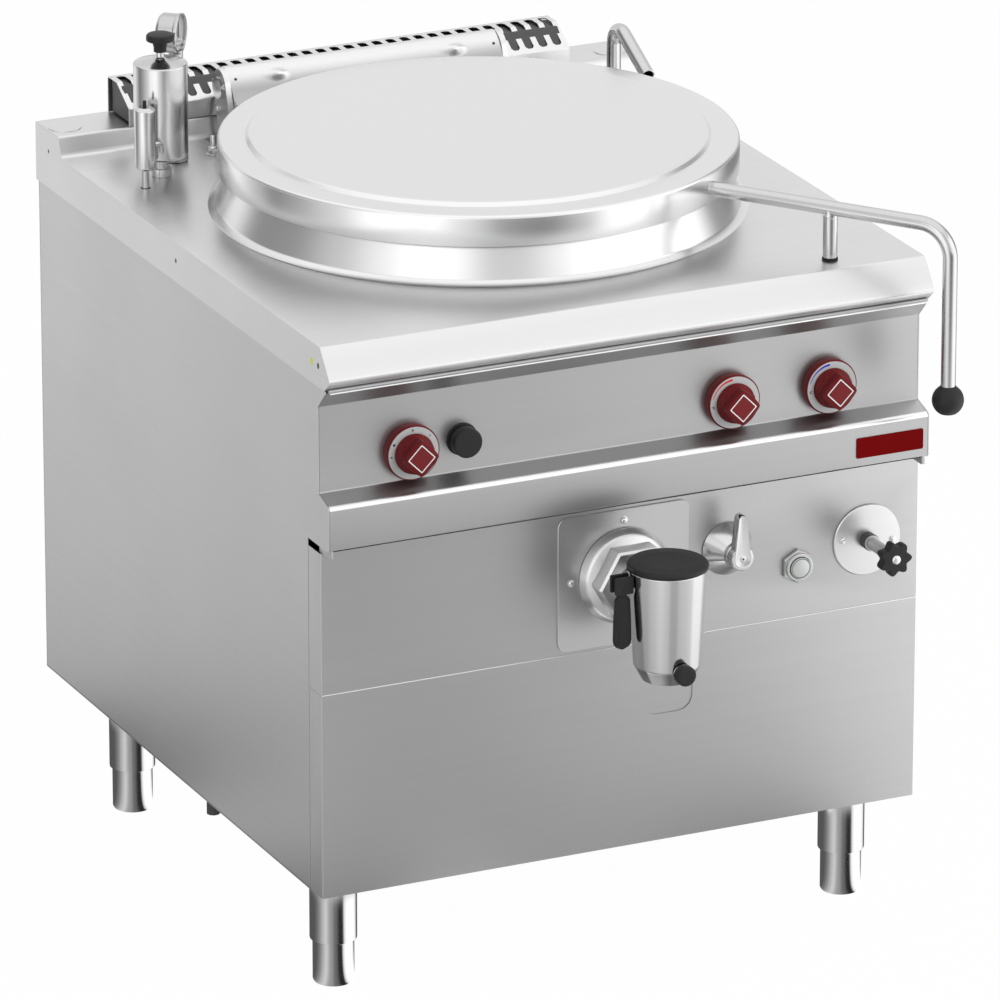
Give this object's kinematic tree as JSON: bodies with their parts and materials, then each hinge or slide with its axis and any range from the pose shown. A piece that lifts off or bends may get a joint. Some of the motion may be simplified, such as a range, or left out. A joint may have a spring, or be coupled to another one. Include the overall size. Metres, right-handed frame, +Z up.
{
  "type": "steam jacketed kettle",
  "caption": "Free-standing jacketed boiling kettle in a steel cabinet with hinged round lid, handle, flue grille, drain tap, safety valve, gauge, spout and knobs.",
  "frame": {"origin": "on the floor under the middle of the whole outline, with the drain tap and the handle counted", "axes": "+Z up, the controls face -Y, +X to the right of someone who stands in front of the controls"},
  "size_m": [0.8054, 1.043, 1.0414],
  "materials": {
    "brushed_steel": "brushed stainless steel",
    "polished_steel": "polished stainless steel",
    "dull_steel": "mill-finished stainless steel",
    "black_plastic": "matte black moulded plastic",
    "rubber": "black rubber",
    "red_plastic": "dark red moulded plastic",
    "cast_iron": "cast iron",
    "clear_glass": "clear glass"
  },
  "bodies": {
    "cabinet": {"worktop": "brushed_steel", "side_panel_left": "brushed_steel", "side_panel_right": "brushed_steel", "rear_panel": "brushed_steel", "base_tray": "dull_steel", "control_panel": "brushed_steel", "upper_front_panel": "brushed_steel", "lower_front_panel": "brushed_steel", "foot_sleeve_front_left": "brushed_steel", "foot_sleeve_front_right": "brushed_steel", "foot_sleeve_rear_left": "brushed_steel", "foot_sleeve_rear_right": "brushed_steel", "vessel": "brushed_steel", "drain_pipe": "dull_steel", "steam_jacket": "dull_steel", "jacket_floor": "dull_steel", "combustion_chamber": "dull_steel", "flue_duct": "dull_steel", "burner": "cast_iron", "flue_grille": "brushed_steel", "hinge_bracket_left": "dull_steel", "hinge_bracket_right": "dull_steel", "hinge_shaft": "polished_steel", "balance_spring": "dull_steel", "safety_valve_body": "brushed_steel", "air_vent_body": "brushed_steel", "gauge_case": "polished_steel", "gauge_glass": "clear_glass", "spout_nut": "polished_steel", "igniter_ring": "black_plastic", "tap_plate": "brushed_steel", "tap_flange": "polished_steel", "tap_body": "polished_steel", "tap_cap": "black_plastic", "tap_button": "black_plastic", "level_cock_rosette": "polished_steel", "push_button_housing": "polished_steel", "fill_flange": "brushed_steel", "fill_stem": "dull_steel"},
    "lid": {"lid": "polished_steel", "hinge_beam": "brushed_steel", "lid_handle": "polished_steel", "peg_tip": "rubber", "handle_ball": "black_plastic"},
    "spout": {"water_spout": "polished_steel"},
    "gas_knob": {"gas_knob": "red_plastic"},
    "cold_water_knob": {"cold_water_knob": "red_plastic"},
    "hot_water_knob": {"hot_water_knob": "red_plastic"},
    "igniter": {"igniter_button": "black_plastic"},
    "foot_front_left": {"foot_front_left": "dull_steel"},
    "foot_front_right": {"foot_front_right": "dull_steel"},
    "foot_rear_left": {"foot_rear_left": "dull_steel"},
    "foot_rear_right": {"foot_rear_right": "dull_steel"},
    "safety_valve_knob": {"safety_valve_knob": "black_plastic"},
    "air_vent_pin": {"air_vent_pin": "black_plastic"},
    "gauge_needle": {"gauge_needle": "black_plastic"},
    "tap_lever": {"tap_lever": "black_plastic"},
    "level_cock": {"level_cock_lever": "polished_steel"},
    "push_button": {"push_button": "polished_steel"},
    "fill_knob": {"fill_knob": "black_plastic"}
  },
  "joints": [
    {"name": "lid_hinge", "type": "hinge", "parent": "cabinet", "child": "lid", "pos_m": [-0.00273, 0.422, 0.9195], "axis": [-1, 0, 0], "range_deg": [0, 85]},
    {"name": "spout_swivel", "type": "hinge", "parent": "cabinet", "child": "spout", "pos_m": [0.30767, 0.3305, 0.9], "axis": [0, 0, 1], "range_deg": [-4, 100]},
    {"name": "gas_knob_turn", "type": "hinge", "parent": "cabinet", "child": "gas_knob", "pos_m": [-0.28373, -0.3408, 0.7017], "axis": [0, -1, 0], "range_deg": [0, 210]},
    {"name": "cold_water_turn", "type": "hinge", "parent": "cabinet", "child": "cold_water_knob", "pos_m": [0.14067, -0.3408, 0.7017], "axis": [0, -1, 0], "range_deg": [0, 270]},
    {"name": "hot_water_turn", "type": "hinge", "parent": "cabinet", "child": "hot_water_knob", "pos_m": [0.27127, -0.3408, 0.7017], "axis": [0, -1, 0], "range_deg": [0, 270]},
    {"name": "igniter_push", "type": "slide", "parent": "cabinet", "child": "igniter", "axis": [0, 1, 0], "range_m": [0, 0.004], "stiffness_N_per_m": 500},
    {"name": "foot_front_left_slide", "type": "slide", "parent": "cabinet", "child": "foot_front_left", "axis": [0, 0, -1], "range_m": [0, 0.03]},
    {"name": "foot_front_right_slide", "type": "slide", "parent": "cabinet", "child": "foot_front_right", "axis": [0, 0, -1], "range_m": [0, 0.03]},
    {"name": "foot_rear_left_slide", "type": "slide", "parent": "cabinet", "child": "foot_rear_left", "axis": [0, 0, -1], "range_m": [0, 0.03]},
    {"name": "foot_rear_right_slide", "type": "slide", "parent": "cabinet", "child": "foot_rear_right", "axis": [0, 0, -1], "range_m": [0, 0.03]},
    {"name": "safety_valve_lift", "type": "slide", "parent": "cabinet", "child": "safety_valve_knob", "axis": [0, 0, 1], "range_m": [0, 0.004], "stiffness_N_per_m": 400},
    {"name": "air_vent_push", "type": "slide", "parent": "cabinet", "child": "air_vent_pin", "axis": [0, 0, -1], "range_m": [0, 0.003], "stiffness_N_per_m": 60},
    {"name": "gauge_needle_turn", "type": "hinge", "parent": "cabinet", "child": "gauge_needle", "pos_m": [-0.27973, 0.3745, 1.0154], "axis": [-0.7604, 0.6494, 0], "range_deg": [0, 270]},
    {"name": "tap_lever_turn", "type": "hinge", "parent": "cabinet", "child": "tap_lever", "pos_m": [-0.06273, -0.4665, 0.535], "axis": [0, 1, 0], "range_deg": [0, 90]},
    {"name": "level_cock_turn", "type": "hinge", "parent": "cabinet", "child": "level_cock", "pos_m": [0.13677, -0.3445, 0.5127], "axis": [0, 1, 0], "range_deg": [0, 90]},
    {"name": "push_button_press", "type": "slide", "parent": "cabinet", "child": "push_button", "axis": [0, 1, 0], "range_m": [0, 0.002], "stiffness_N_per_m": 500},
    {"name": "fill_knob_turn", "type": "hinge", "parent": "cabinet", "child": "fill_knob", "pos_m": [0.32607, -0.3445, 0.4943], "axis": [0, -1, 0], "range_deg": [0, 540]}
  ]
}
